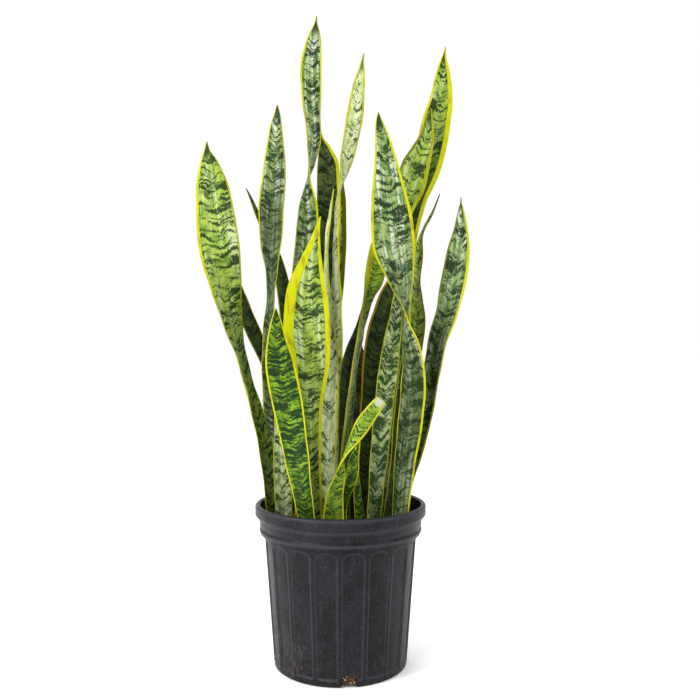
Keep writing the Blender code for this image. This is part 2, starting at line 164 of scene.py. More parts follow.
# One leaf to a key: how far back its foot stands (the front is -Y), how far back the tip leans from
# there, and its stations up from the mix, all in millimetres. A station is height, place to the right,
# width, and the turn of the face about the vertical in degrees: 0 faces the front, and a growing turn
# brings the left margin forwards. AWL is the width at a pointed tip.
AWL = 1.6
LEAVES = {
    "leaf_far_left": (-12, -39, (
        (0, -99, 28, 52), (110, -112, 34, 60), (235, -143, 40, 78), (300, -159, 46, 60),
        (357, -168, 52, 36), (413, -176, 59, 10), (485, -183, 51, 0), (533, -189, 25, 0),
        (548, -191, 9, 0), (560, -191, AWL, 0),
    )),
    "leaf_left_behind": (46, -3, (
        (0, -86, 22, 30), (80, -92, 25, 30), (170, -101, 26, 38), (228, -112, 27, 50),
        (261, -124, 27, 45), (293, -138, 26, 32), (327, -152, 24, 22), (357, -161, 17, 10),
        (391, -168, 8, 0), (411, -170, AWL, 0),
    )),
    "leaf_tall_left": (12, -34, (
        (0, -95, 26, -28), (128, -100, 31, -32), (212, -105, 34, -40), (285, -107, 36, -58),
        (348, -103, 36, -65), (378, -102, 37, -56), (412, -103, 38, -34), (463, -103, 39, -10),
        (523, -98, 35, 0), (567, -96, 25, 0), (591, -95, 18, 0), (611, -93, 8, 0), (622, -93, AWL, 0),
    )),
    "leaf_left_inner": (58, 22, (
        (0, -62, 22, 20), (180, -70, 24, 20), (290, -83, 24, 18), (355, -91, 23, 14),
        (396, -100, 19, 10), (437, -114, 14, 8), (479, -134, 8, 0), (503, -144, 5, 0), (520, -152, AWL, 0),
    )),
    "leaf_front_short": (-72, -31, (
        (0, -42, 23, -20), (74, -54, 31, -16), (112, -60, 37, -14), (150, -66, 40, -12),
        (194, -74, 43, -2), (237, -82, 41, 5), (286, -87, 22, 5), (304, -87, 13, 5), (319, -87, AWL, 0),
    )),
    "leaf_front_broad": (-44, -14, (
        (0, -38, 25, 20), (108, -44, 33, 20), (147, -46, 38, 19), (186, -47, 44, 16), (242, -45, 59, 8),
        (291, -48, 67, 0), (338, -48, 60, 0), (390, -41, 31, 0), (415, -36, 16, 0), (436, -32, 7, 0),
        (452, -28, AWL, 0),
    )),
    "leaf_left_low": (-45, -10, (
        (0, -81, 24, 25), (90, -83, 27, 15), (153, -81, 28, 10), (198, -80, 24, 0), (233, -80, 13, 0),
        (259, -81, AWL, 0),
    )),
    "leaf_centre_edge_on": (-11, -5, (
        (0, -13, 30, -28), (105, -17, 32, -36), (188, -15, 37, -42), (244, -13, 38, -52),
        (289, -15, 38, -62), (333, -17, 37, -74), (395, -21, 32, -78), (432, -19, 25, -76),
        (466, -15, 16, -74), (486, -12, 7, -70), (500, -10, AWL, -60),
    )),
    "leaf_tallest": (22, 3, (
        (0, -52, 28, 150), (186, -51, 36, 152), (338, -57, 42, 160), (386, -55, 42, 165),
        (443, -51, 38, 165), (473, -51, 34, 158), (503, -51, 32, 126), (532, -48, 31, 92),
        (553, -45, 31, 68), (584, -42, 31, 50), (638, -45, 32, 30), (687, -46, 33, 8), (729, -42, 25, 0),
        (752, -39, 13, 0), (763, -38, 4, 0), (773, -37, AWL, 0),
    )),
    "leaf_centre_dark": (68, 27, (
        (0, -30, 30, 0), (180, -29, 34, 0), (341, -24, 40, 0), (439, -22, 41, 0), (495, -20, 39, 0),
        (556, -21, 36, 0), (586, -27, 21, 0), (605, -33, 8, 0), (619, -34, AWL, 0),
    )),
    "leaf_upper_centre": (44, 11, (
        (0, -8, 24, 150), (182, -10, 28, 148), (338, -9, 28, 130), (407, -9, 27, 112),
        (449, -8, 27, 110), (489, -6, 27, 104), (523, 0, 28, 82), (540, 4, 28, 62), (564, 9, 28, 44),
        (619, 20, 28, 22), (676, 28, 19, 12), (701, 32, 10, 8), (717, 34, 4, 0), (727, 36, AWL, 0),
    )),
    "leaf_back_olive": (90, 18, (
        (0, -6, 26, 0), (180, -13, 30, 8), (303, -17, 34, 24), (393, -13, 38, 12), (434, -12, 40, 6),
        (480, -8, 32, 0), (507, -4, 23, 0), (533, -1, 10, 0), (550, 1, AWL, 0),
    )),
    "leaf_right_broad": (-58, -36, (
        (0, 82, 23, 150), (98, 90, 33, 150), (163, 98, 40, 148), (200, 101, 42, 143),
        (229, 102, 43, 136), (255, 99, 45, 124), (278, 96, 47, 110), (299, 92, 49, 95),
        (322, 91, 52, 74), (344, 87, 56, 57), (371, 82, 59, 40), (408, 75, 61, 10), (443, 72, 58, 0),
        (479, 68, 48, 0), (519, 64, 33, 0), (558, 58, 19, 0), (577, 54, 10, 0), (589, 53, AWL, 0),
    )),
    "leaf_top_right": (26, 31, (
        (0, 86, 22, 20), (96, 96, 24, 25), (187, 99, 26, 35), (300, 97, 30, 50), (400, 99, 36, 40),
        (455, 104, 39, 25), (497, 113, 42, 12), (547, 132, 47, 2), (584, 142, 47, 0), (619, 149, 44, 0),
        (656, 157, 35, 0), (699, 160, 21, 0), (717, 161, 10, 0), (729, 163, 4, 0), (738, 164, AWL, 0),
    )),
    "leaf_right_inner_tall": (-1, 0, (
        (0, 75, 32, -16), (188, 88, 36, -20), (300, 88, 33, -34), (411, 87, 36, -25),
        (456, 87, 38, -22), (480, 93, 41, -14), (510, 105, 45, 0), (533, 111, 43, 0), (558, 121, 33, 0),
        (585, 130, 20, 0), (608, 133, 10, 0), (623, 135, AWL, 0),
    )),
    "leaf_far_right": (-24, -14, (
        (0, 92, 22, -42), (56, 96, 25, -45), (109, 108, 29, -32), (149, 118, 32, -35),
        (190, 128, 34, -48), (243, 137, 37, -53), (271, 142, 39, -50), (321, 157, 40, -40),
        (351, 163, 39, -28), (400, 171, 34, -10), (443, 175, 18, 0), (466, 175, 8, 0), (475, 175, 3, 0),
        (483, 175, AWL, 0),
    )),
    "leaf_right_slim": (50, 16, (
        (0, 88, 20, -10), (90, 98, 22, -16), (182, 110, 24, -20), (255, 115, 26, -24),
        (309, 120, 27, -22), (342, 119, 27, -48), (364, 119, 26, -66), (404, 121, 23, -48),
        (437, 125, 12, -50), (453, 131, 7, -45), (474, 142, 5, -40), (508, 156, AWL, 0),
    )),
    "leaf_centre_twisted": (-28, -6, (
        (0, 3, 24, 42), (72, 5, 26, 46), (126, 8, 28, 58), (179, 13, 30, 70), (256, 23, 32, 78),
        (307, 33, 32, 71), (327, 37, 32, 65), (345, 42, 32, 52), (362, 48, 32, 30), (386, 52, 31, 20),
        (407, 54, 25, 12), (429, 56, 14, 0), (457, 55, AWL, 0),
    )),
    "leaf_centre_shaded": (22, 3, (
        (0, 6, 23, -30), (185, 9, 27, -32), (234, 12, 28, -30), (260, 19, 26, -28), (283, 26, 20, -26),
        (304, 31, 13, -20), (330, 34, AWL, 0),
    )),
    "leaf_right_shaded": (-16, -6, (
        (0, 33, 26, 20), (100, 38, 28, 20), (210, 45, 32, 20), (243, 48, 35, 20), (271, 53, 38, 20),
        (296, 59, 39, 20), (319, 66, 38, 20), (340, 71, 32, 20), (360, 77, 21, 18), (382, 81, 10, 10),
        (402, 83, AWL, 0),
    )),
    "leaf_right_banded": (-50, 8, (
        (0, 45, 22, 30), (83, 52, 27, 27), (123, 56, 30, 25), (190, 63, 31, 25), (243, 70, 32, 25),
        (271, 74, 29, 28), (299, 78, 24, 28), (321, 81, 19, 24), (341, 82, 10, 10), (366, 84, AWL, 0),
    )),
    "leaf_right_narrow": (-32, -2, (
        (0, 67, 20, 25), (58, 75, 20, 30), (93, 79, 20, 35), (131, 82, 21, 38), (178, 86, 21, 35),
        (211, 89, 16, 30), (236, 90, 8, 10), (259, 92, AWL, 0),
    )),
    "leaf_front_cut": (-84, -20, (
        (0, -9, 29, 18), (33, -10, 30, 20), (60, -8, 27, 24), (84, -2, 22, 40), (103, 2, 19, 68),
        (117, 7, 17, 95), (130, 14, 17, 128), (142, 21, 19, 150), (160, 32, 22, 165), (180, 46, 19, 172),
        (194, 57, 15, 176),
    )),
    "leaf_front_small": (-60, 1, (
        (0, 0, 19, 30), (31, 1, 21, 55), (51, 6, 23, 55), (69, 12, 24, 45), (88, 17, 22, 34),
        (108, 20, 15, 20), (123, 25, 7, 0), (136, 28, AWL, 0),
    )),
    "leaf_sprout_right": (-49, 0, (
        (0, 28, 14, 20), (26, 27, 15, 20), (49, 25, 13, 20), (75, 24, 8, 10), (101, 24, AWL, 0),
    )),
    "leaf_sprout_left": (-60, -3, (
        (0, -60, 11, 30), (20, -60, 11, 25), (38, -60, 7, 15), (58, -60, AWL, 0),
    )),
    "leaf_low_behind": (4, 4, (
        (0, 18, 24, 20), (113, 19, 26, 20), (136, 20, 24, 20), (172, 21, 19, 10), (187, 24, 10, 0),
        (199, 27, AWL, 0),
    )),
    "leaf_mid_behind": (46, 14, (
        (0, 30, 24, 10), (140, 32, 29, 10), (201, 35, 32, 8), (224, 34, 27, 0), (247, 32, 15, 0),
        (270, 32, AWL, 0),
    )),
}

# How each leaf looks: its finish, its left margin and its right one, each as a width in millimetres and a
# colour, the share of its height below which shade is painted on, how dark the painted shade gets, and how
# far its pattern is shifted. Left and right are the leaf's own, seen from its face. PAINTED_SHADE is the
# colour of the painted shade.
LEMON, SAP, OCHRE, DRAB, PAINTED_SHADE = "#AEB202", "#8E9614", "#8A6A10", "#666C16", "#132208"
LOOKS = {
    "leaf_far_left": ("banded", 4.5, LEMON, 2.8, SAP, 0.35, 0.35, 11),
    "leaf_left_behind": ("olive", 1.6, DRAB, 1.6, OCHRE, 1.0, 0.45, 23),
    "leaf_tall_left": ("grey", 2.6, LEMON, 2.2, SAP, 0.95, 0.68, 37),
    "leaf_left_inner": ("olive", 1.8, SAP, 1.5, DRAB, 0.95, 0.35, 41),
    "leaf_front_short": ("deep", 2.8, LEMON, 2.8, LEMON, 0.3, 0.2, 53),
    "leaf_front_broad": ("banded", 19.0, LEMON, 9.0, LEMON, 0.45, 0.35, 67),
    "leaf_left_low": ("pale", 1.4, SAP, 1.4, SAP, 0.2, 0.3, 71),
    "leaf_centre_edge_on": ("cream", 4.0, SAP, 5.0, LEMON, 0.25, 0.3, 83),
    "leaf_tallest": ("grey", 3.6, LEMON, 3.0, LEMON, 0.35, 0.3, 97),
    "leaf_centre_dark": ("olive", 1.6, DRAB, 6.5, LEMON, 0.9, 0.35, 101),
    "leaf_upper_centre": ("cream", 3.4, LEMON, 3.4, LEMON, 0.7, 0.4, 113),
    "leaf_back_olive": ("pale", 2.0, SAP, 8.0, DRAB, 0.9, 0.4, 127),
    "leaf_right_broad": ("grey", 4.2, LEMON, 5.0, LEMON, 0.62, 0.66, 131),
    "leaf_top_right": ("banded", 4.5, LEMON, 8.5, LEMON, 0.92, 0.92, 149),
    "leaf_right_inner_tall": ("banded", 4.5, DRAB, 6.0, SAP, 0.88, 0.7, 151),
    "leaf_far_right": ("grey", 2.4, DRAB, 4.6, LEMON, 0.8, 0.6, 163),
    "leaf_right_slim": ("banded", 1.2, DRAB, 2.6, OCHRE, 0.7, 0.4, 173),
    "leaf_centre_twisted": ("speckled", 10.0, SAP, 1.8, DRAB, 0.5, 0.5, 181),
    "leaf_centre_shaded": ("olive", 1.4, DRAB, 1.4, SAP, 1.0, 0.6, 191),
    "leaf_right_shaded": ("olive", 3.6, OCHRE, 1.6, SAP, 1.0, 0.55, 199),
    "leaf_right_banded": ("barred", 2.0, SAP, 2.0, SAP, 0.5, 0.45, 211),
    "leaf_right_narrow": ("olive", 1.6, SAP, 1.4, DRAB, 0.9, 0.5, 223),
    "leaf_front_cut": ("speckled", 3.0, LEMON, 3.0, LEMON, 0.4, 0.25, 227),
    "leaf_front_small": ("deep", 1.2, DRAB, 3.2, LEMON, 0.5, 0.3, 233),
    "leaf_sprout_right": ("deep", 1.4, LEMON, 1.2, SAP, 0.4, 0.2, 241),
    "leaf_sprout_left": ("deep", 1.2, SAP, 1.0, SAP, 0.4, 0.2, 251),
    "leaf_low_behind": ("olive", 1.2, DRAB, 1.2, DRAB, 1.0, 0.6, 263),
    "leaf_mid_behind": ("olive", 1.4, OCHRE, 1.2, DRAB, 1.0, 0.6, 269),
}

# Leaf finishes: ground, lusher ground, band, bloom-and-sheen and tip colours, then the band spacing in
# millimetres, the share of the face that the bands cover, how much they crowd in zones, and how strong the
# bloom and its painted sheen are.
FINISHES = {
    "banded": ("#91A63E", "#64842C", "#122A0E", "#BCC8A2", "#122A0E", 5.8, 0.44, 0.40, 0.60),
    "grey": ("#86985A", "#3F6628", "#10270F", "#C4CDB8", "#1C3518", 6.0, 0.46, 0.42, 0.80),
    "pale": ("#A3AE78", "#56722F", "#173218", "#CCD2BA", "#2A4420", 6.5, 0.42, 0.46, 0.80),
    "cream": ("#C6CE98", "#93AA5E", "#1C3A1E", "#DDE2C8", "#4C6430", 8.0, 0.36, 0.36, 0.70),
    "barred": ("#AEBA82", "#6E8F42", "#153616", "#CCD4B6", "#28401C", 7.0, 0.55, 0.26, 0.50),
    # The olive finish is partly the leaves' own dark green and partly painted shade for leaves deep in the
    # clump.
    "olive": ("#4A5826", "#2C381E", "#0C1308", "#606C44", "#1A2410", 6.0, 0.48, 0.44, 0.30),
    "deep": ("#70921E", "#204C18", "#0B260D", "#8FAC30", "#16300F", 4.0, 0.56, 0.24, 0.20),
    "speckled": ("#82982A", "#4F7420", "#1A3A12", "#98A548", "#A7AD90", 3.6, 0.42, 0.42, 0.30),
}


def linear(code):
    """An sRGB hex colour as linear RGBA."""
    channels = [int(code[i:i + 2], 16) / 255 for i in (1, 3, 5)]
    return (*[c / 12.92 if c <= 0.04045 else ((c + 0.055) / 1.055) ** 2.4 for c in channels], 1.0)


def add(tree, kind, feeds=(), out=0, **settings):
    """Adds a node and gives one of its outputs, or the node itself when out is None.

    Feeds go from an input's name or number to a value or another node's output. A MapRange has the value
    at 0, the range that it comes from at 1 and 2, and the range that it goes to at 3 and 4, 0 to 1 if unsaid.
    """
    made = tree.nodes.new("ShaderNode" + kind)
    for name, value in settings.items():
        setattr(made, name, value)
    for socket, value in dict(feeds).items():
        if isinstance(value, bpy.types.NodeSocket):
            tree.links.new(value, made.inputs[socket])
        else:
            made.inputs[socket].default_value = value
    return made if out is None else made.outputs[out]


def start_material(name, ior):
    """A new material, its node tree and its shader."""
    material = bpy.data.materials.new(name)
    material.use_nodes = True
    shader = material.node_tree.nodes["Principled BSDF"]
    shader.inputs["IOR"].default_value = ior
    return material, material.node_tree, shader


def finish_piece(name, bm, material, node=None, sharp=math.radians(40)):
    """Makes a bmesh into a piece with its faces out, and hides the imported part of the node it stands in
    for.
    """
    bmesh.ops.recalc_face_normals(bm, faces=bm.faces[:])
    if bm.calc_volume(signed=True) < 0:
        bmesh.ops.reverse_faces(bm, faces=bm.faces[:])
    mesh = bpy.data.meshes.new(name)
    bm.to_mesh(mesh)
    bm.free()
    mesh.materials.append(material)
    mesh.shade_smooth()
    mesh.set_sharp_from_angle(angle=sharp)
    piece = bpy.data.objects.new(name, mesh)
    bpy.context.scene.collection.objects.link(piece)
    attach(piece, "root")
    if node:
        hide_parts(node)
    return piece


# Leaf tissue: a firm, water-filled blade under a thin waxy cuticle. The wax gives a soft, broad sheen
# over clear colours, and a greyish bloom in long streaks; the pale streaks are also a painted sheen,
# standing in for light glancing off the wax.
def leaf_material(name):
    finish, left_width, left_colour, right_width, right_colour, painted_shade_top, painted_shade_most, shift = LOOKS[name]
    ground, lush, band, bloom_and_sheen, tip, spacing, cover, patchy, bloom_and_sheen_share = FINISHES[finish]
    soft = {"interpolation_type": "SMOOTHSTEP"}
    material, tree, shader = start_material("waxy_tissue_" + name[5:], 1.45)
    blade = add(tree, "Attribute", out="Vector", attribute_name="blade")
    across, along, side = (add(tree, "SeparateXYZ", {0: blade}, out=axis) for axis in "XYZ")
    edges = add(tree, "Attribute", out="Vector", attribute_name="edges")
    left, right, share = (add(tree, "SeparateXYZ", {0: edges}, out=axis) for axis in "XYZ")

    # Noises of the tissue: the width and length of the grains in millimetres, and the levels of detail.
    # Fibres are 0.5 mm wide in a real leaf and are drawn 0.9 mm wide, so that they show.
    grain = {}
    for key, width, length, detail in (
        ("fibre", 0.9, 4.5, 2), ("fray", 2.2, 10, 2), ("wander", 13, 30, 2), ("zone", 60, 27, 2),
        ("spot", 2.4, 2.0, 3), ("cloud", 8, 16, 4), ("streak", 5.5, 110, 3), ("stain", 6, 22, 3),
    ):
        stretched = add(tree, "Mapping", {
            "Vector": blade, "Location": (shift, shift * 1.7, 0), "Scale": (1 / width, 1 / length, 0),
        })
        grain[key] = add(tree, "TexNoise", {"Vector": stretched, "Scale": 1, "Detail": detail})

    # Cross-bands at about the finish's spacing, no two alike. They rise in the middle, dip to each side
    # and fray along the fibres, and they crowd together in some zones and thin out in others.
    turned = add(tree, "Math", {0: side, 1: BOW_ANGLE}, operation="MULTIPLY")
    bow = add(tree, "Math", {0: turned}, operation="COSINE")
    height = along
    for source, reach in ((bow, 0.6), (grain["wander"], 2.4), (grain["fray"], 1.3)):
        height = add(tree, "Math", {0: source, 1: reach * spacing, 2: height}, operation="MULTIPLY_ADD")
    bent = add(tree, "CombineXYZ", {"X": across, "Y": height, "Z": shift})
    laid = add(tree, "Mapping", {"Vector": bent, "Scale": (1 / BAND_REACH, 1 / spacing, 1)})
    level = add(tree, "TexNoise", {"Vector": laid, "Scale": 1, "Detail": 2, "Roughness": 0.6})
    unevenness = (("zone", patchy), ("fibre", 0.20), ("spot", 0.28))
    for key, strength in unevenness:
        level = add(tree, "Math", {0: grain[key], 1: strength, 2: level}, operation="MULTIPLY_ADD")
    middle = 0.5 + sum(strength for _, strength in unevenness) / 2 + (0.5 - cover) * 0.5

    # Colours over the ground: what each follows, where it starts, where it is full, and how strong it is.
    face = linear(ground)
    for source, low, high, most, colour in (
        (grain["cloud"], 0.40, 0.62, 0.85, lush),
        # The leaf's greyish bloom, partly a painted sheen.
        (grain["streak"], 0.48, 0.66, bloom_and_sheen_share, bloom_and_sheen),
        (level, middle - BAND_EDGE, middle + BAND_EDGE, 0.95, band),
        (share, 0.945, 0.975, 0.92, tip),
        # Painted shade that darkens the leaf towards its foot.
        (share, painted_shade_top, painted_shade_top - PAINTED_SHADE_SPAN, painted_shade_most, PAINTED_SHADE),
    ):
        mask = add(tree, "MapRange", {0: source, 1: low, 2: high, 4: most}, **soft)
        face = add(tree, "Mix", {"Factor": mask, "A": face, "B": linear(colour)}, out=2, data_type="RGBA")

    # Margins: clear colour with a stain here and there, a drab line inside, and an edge that wanders.
    stained = add(tree, "MapRange", {0: grain["stain"], 1: 0.50, 2: 0.72, 4: 0.7}, **soft)
    for reach, width, colour in ((left, left_width, left_colour), (right, right_width, right_colour)):
        edge = add(tree, "Math", {0: grain["fray"], 1: 0.8, 2: reach}, operation="MULTIPLY_ADD")
        stain = {"Factor": stained, "A": linear(colour), "B": linear(OCHRE)}
        rim = add(tree, "Mix", stain, out=2, data_type="RGBA")
        for inner, outer, most, tone in ((1.6, 0.9, 0.5, linear(DRAB)), (0.7, 0.2, 1.0, rim)):
            mask = add(tree, "MapRange", {0: edge, 1: width + inner, 2: width + outer, 4: most}, **soft)
            face = add(tree, "Mix", {"Factor": mask, "A": face, "B": tone}, out=2, data_type="RGBA")
    tree.links.new(face, shader.inputs["Base Color"])
    gloss = add(tree, "MapRange", {0: grain["streak"], 1: 0.3, 2: 0.7, 3: 0.60, 4: 0.36})
    tree.links.new(gloss, shader.inputs["Roughness"])
    shader.inputs["Specular IOR Level"].default_value = 0.13
    # Fibres raise the skin by about 0.1 mm.
    raised = add(tree, "Bump", {"Height": grain["fibre"], "Distance": 0.1 * MM})
    tree.links.new(raised, shader.inputs["Normal"])
    return material


def slopes(knots, values):
    """Slopes at the knots for a smooth curve that never overshoots its values."""
    steps = [(b - a) / (q - p) for a, b, p, q in zip(values, values[1:], knots, knots[1:])]
    inner = [0.0 if a * b <= 0 else 2 * a * b / (a + b) for a, b in zip(steps, steps[1:])]
    return [steps[0]] + inner + [steps[-1]]


def smooth_at(knots, values, at):
    """The value at one place on the smooth curve through (knots, values)."""
    index = max(i for i in range(len(knots) - 1) if i == 0 or knots[i] <= at)
    span = knots[index + 1] - knots[index]
    t = min(max((at - knots[index]) / span, 0.0), 1.0)
    rise = slopes(knots, values)
    low, high = values[index], values[index + 1]
    return (
        low * (1 + 2 * t) * (1 - t) ** 2
        + high * t * t * (3 - 2 * t)
        + span * (rise[index] * t * (1 - t) ** 2 - rise[index + 1] * t * t * (1 - t))
    )


def leaf_section(leaf, share):
    """Centre, width and turn of the leaf at a share of its height."""
    foot_back, lean, stations = leaf
    spread = MOUTH_RADIUS / DRAWN_MOUTH * MM
    heights = [station[0] for station in stations]
    at = share * heights[-1]
    right, width, turn = (
        smooth_at(heights, [station[column] for station in stations], at) for column in (1, 2, 3)
    )
    back = foot_back + lean * share ** LEAN_GROWTH
    centre = Vector((right * spread, back * spread, MIX_TOP + LEAF_SEAT + at * MM))
    return centre, width * spread, math.radians(turn)


def leaf_rows(leaf):
    """Everything that one row across the leaf needs, from the foot to the tip."""
    count = max(FEWEST_ROWS, round(leaf[2][-1][0] / ROW_STEP))
    rows = []
    spent = 0.0
    for index in range(count + 1):
        share = index / count
        centre, width, turn = leaf_section(leaf, share)
        ahead = leaf_section(leaf, min(share + TANGENT_SHARE, 1.0))[0]
        behind = leaf_section(leaf, max(share - TANGENT_SHARE, 0.0))[0]
        along = Vector((0, 0, 1)) if index == 0 else (ahead - behind).normalized()
        level = Vector((math.cos(turn), math.sin(turn), 0))
        across = (level - along * level.dot(along)).normalized()
        if rows:
            spent += (centre - rows[-1]["centre"]).length / MM
        thick = min(BASE_THICKNESS + (TOP_THICKNESS - BASE_THICKNESS) * share, TIP_THICKNESS_SHARE * width)
        channel = width * (BASE_CHANNEL + (TOP_CHANNEL - BASE_CHANNEL) * min(share * CHANNEL_FADE, 1.0))
        rows.append({
            "centre": centre, "width": width, "across": across, "facing": across.cross(along),
            "thick": thick, "channel": channel, "spent": spent, "share": share,
        })
    for row in rows:
        row["end"] = math.sqrt(min((spent - row["spent"]) / END_ROUND, 1.0))
    rows[0]["centre"] = rows[0]["centre"] - Vector((0, 0, ROOTED))
    return rows


def build_leaf(name, leaf):
    """Two grids, the face and the back, laid on the leaf's rows and merged along the margins.

    The blade attribute holds a point's place across and along the leaf in millimetres, and its share of
    the half width. The edges attribute holds its distance from each margin, and its share of the height.
    """
    rows = leaf_rows(leaf)
    widest = max(row["width"] for row in rows)
    shift = LOOKS[name][-1]
    bm = bmesh.new()
    blade = bm.verts.layers.float_vector.new("blade")
    edges = bm.verts.layers.float_vector.new("edges")
    for layer in (1, -1):
        sheet = bmesh.ops.create_grid(bm, x_segments=ACROSS, y_segments=len(rows) - 1, size=1.0)["verts"]
        for vert in sheet:
            side = math.sin(vert.co.x * math.pi / 2)
            row = rows[round((vert.co.y + 1) / 2 * (len(rows) - 1))]
            half = row["width"] / 2
            wave = WAVE_DEPTH * math.sin((row["spent"] + shift) * 2 * math.pi / WAVE_LENGTH + side)
            body = row["thick"] / 2 * (1 - side ** 4) * row["end"]
            depth = row["channel"] * (side * side - 1 / 3) + layer * body + wave * side * side
            vert.co = row["centre"] + row["across"] * (side * half) + row["facing"] * depth
            thinning = (widest / row["width"]) ** MARGIN_THINNING * (1 + BASE_THINNING * (1 - row["share"]))
            vert[blade] = (side * half / MM, row["spent"], side)
            from_left, from_right = ((1 + way * side) * half / MM * thinning for way in (1, -1))
            vert[edges] = (from_left, from_right, row["share"])
    bmesh.ops.remove_doubles(bm, verts=bm.verts[:], dist=TOUCH / 50)
    material = leaf_material(name)
    finish_piece("blade_" + name[5:], bm, material, name, math.radians(60))


def spin_profile(points, segments):
    """Spins a closed outline of (radius, height) points round the vertical axis into a solid."""
    bm = bmesh.new()
    verts = [bm.verts.new((0.0, -radius, height)) for radius, height in points]
    edges = [bm.edges.new(pair) for pair in zip(verts, verts[1:])]
    bmesh.ops.spin(
        bm, geom=verts + edges, axis=(0, 0, 1), cent=(0, 0, 0),
        angle=2 * math.pi, steps=segments, use_merge=True,
    )
    bmesh.ops.remove_doubles(bm, verts=bm.verts[:], dist=TOUCH / 10)
    return bm


def outer_radius(height):
    """The pot's outer radius on the tapered wall."""
    return FOOT_RADIUS + WALL_TAPER * height / COLLAR_BOTTOM


def arc(centre, radius, start, end, steps):
    """(radius, height) points on a quarter round or bead, between two angles in degrees."""
    angles = [math.radians(start + (end - start) * i / steps) for i in range(steps + 1)]
    return [(centre[0] + radius * math.cos(a), centre[1] + radius * math.sin(a)) for a in angles]


def pot_profile():
    """The pot's section: up the outside from the axis, over the rolled rim and down the inside."""
    foot = arc((FOOT_RADIUS - FOOT_ROUND, FOOT_ROUND), FOOT_ROUND, -90, 0, 4)
    wall = [(outer_radius(height * MM), height * MM) for height in WALL_ROWS]
    wall += [(WALL_TOP_RADIUS, COLLAR_BOTTOM)]
    under = arc((BEAD_RADIUS - BEAD_ROUND, COLLAR_BOTTOM + BEAD_ROUND), BEAD_ROUND, -90, 0, 3)
    bead = []
    for i in range(1, BEAD_STEPS + 1):
        swell = BEAD_SWELL * math.sin(math.pi * i / BEAD_STEPS)
        rise = COLLAR_BOTTOM + BEAD_START + (BEAD_HEIGHT - BEAD_START) * i / BEAD_STEPS
        bead.append((BEAD_RADIUS + swell, rise))
    collar = [(BEAD_RADIUS + 0.0002, BEAD_TOP + 0.0012), (BEAD_RADIUS + 0.0012, BEAD_TOP + 0.0025)]
    collar += [(COLLAR_RADIUS - 0.0003, ROLL_BOTTOM - 0.002), (COLLAR_RADIUS, ROLL_BOTTOM)]
    low = arc((RIM_RADIUS - ROLL_ROUND, ROLL_BOTTOM + ROLL_ROUND), ROLL_ROUND, -80, 0, 5)
    high = arc((RIM_RADIUS - ROLL_ROUND, POT_HEIGHT - ROLL_ROUND), ROLL_ROUND, 0, 90, 6)
    inside = [
        (MOUTH_RADIUS + 2.5 * LIP_ROUND, POT_HEIGHT - 0.3 * LIP_ROUND),
        (MOUTH_RADIUS + LIP_ROUND, POT_HEIGHT - 1.5 * LIP_ROUND),
        (MOUTH_RADIUS, ROLL_BOTTOM),
        (BEAD_RADIUS - WALL, BEAD_TOP),
        (WALL_TOP_RADIUS - WALL, COLLAR_BOTTOM - LIP_ROUND),
        (outer_radius(FLOOR) - WALL, FLOOR),
        (0.0, FLOOR),
    ]
    return [(0.0, 0.0)] + foot + wall + under + bead + collar + low + high + inside


def ease(value):
    """A soft step from 0 to 1."""
    value = min(max(value, 0.0), 1.0)
    return value * value * (3 - 2 * value)


def sink_flutes(bm):
    """Presses shallow flutes into the wall, with rounded ribs between them and round arches on top.

    The rub attribute holds a painted highlight where light would catch the skin: most on the slopes of the
    flutes and the collar's edges.
    """
    rub_and_highlight = bm.verts.layers.float.new("rub_and_highlight")
    for vert in bm.verts:
        radius = math.hypot(vert.co.x, vert.co.y)
        height = vert.co.z
        if radius > COLLAR_RADIUS - COLLAR_STEP / 2:
            vert[rub_and_highlight] = max(1 - abs(height - edge) / HIGHLIGHT_REACH for edge in HIGHLIGHT_EDGES)
        if abs(radius - outer_radius(height)) > TOUCH or not FOOT_ROUND < height < COLLAR_BOTTOM - TOUCH:
            continue
        phase = (math.atan2(vert.co.x, -vert.co.y) * FLUTES / (2 * math.pi)) % 1.0
        off_centre = min(abs(phase - 0.5) * 2, 1.0)
        arch = ARCH_TOP - ARCH_RISE * (1 - math.sqrt(max(1 - (off_centre / (1 - RIB_SHARE)) ** 2, 0.0)))
        sunk = ease((1 - off_centre - RIB_SHARE) / RIB_SLOPE)
        low_end = ease((height - FLUTE_FOOT + FLUTE_SLOPE) / (2 * FLUTE_SLOPE))
        sunk *= ease((arch - height) / FLUTE_SLOPE) * low_end
        # Painted highlight, strongest halfway down each flute's slope.
        vert[rub_and_highlight] = 4 * sunk * (1 - sunk)
        shrink = (radius - FLUTE_DEPTH * sunk) / radius
        vert.co.x *= shrink
        vert.co.y *= shrink


def drain_directions():
    """For each drain hole, the way out of the pot and the way along its wall."""
    for index in range(DRAIN_HOLES):
        turn = DRAIN_TURN + index * 2 * math.pi / DRAIN_HOLES
        yield Vector((math.sin(turn), -math.cos(turn), 0)), Vector((math.cos(turn), math.sin(turn), 0))


